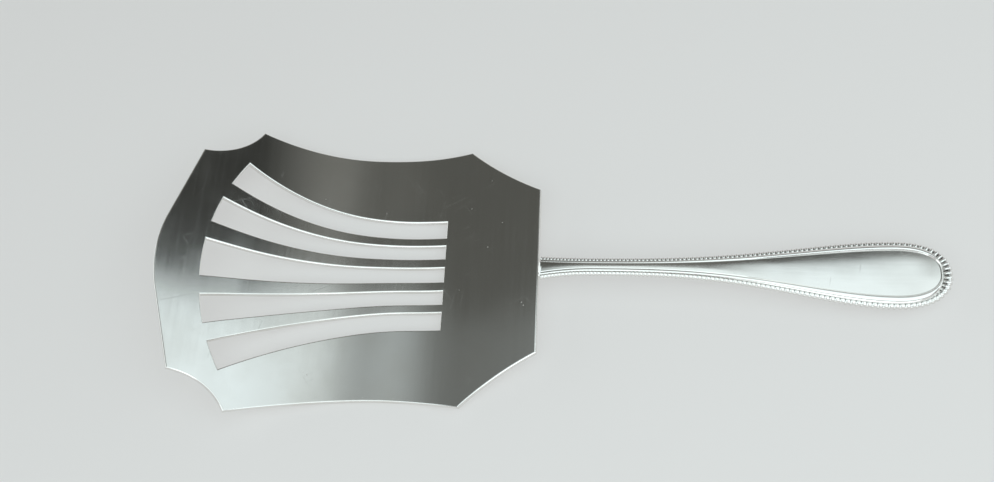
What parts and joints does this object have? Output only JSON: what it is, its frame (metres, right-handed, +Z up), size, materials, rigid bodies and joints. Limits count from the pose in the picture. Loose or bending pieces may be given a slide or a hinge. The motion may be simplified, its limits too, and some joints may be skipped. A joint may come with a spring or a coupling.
{
  "type": "asparagus server",
  "caption": "Silver asparagus server: broad scooped blade pierced by fanned slots, scalloped front corners, slender flared handle with a beaded border",
  "frame": {"origin": "middle of the object's box in plan, on the table", "axes": "+X runs from the blade's nose to the handle's tip, +Y across the blade, +Z up from the table to the serving face"},
  "size_m": [0.2494, 0.0998, 0.0207],
  "materials": {
    "satin_silver": "satin silver, finely brushed, with light wear",
    "polished_silver": "polished silver",
    "tang_steel": "plain drawn steel, hidden in the handle",
    "cement": "matt resin filling, hidden in the handle"
  },
  "bodies": {
    "root": {"blade": "satin_silver", "bolster": "polished_silver", "tang": "tang_steel", "handle_top_shell": "polished_silver", "handle_back_shell": "polished_silver", "bead_border": "polished_silver", "handle_cement": "cement"}
  },
  "joints": []
}
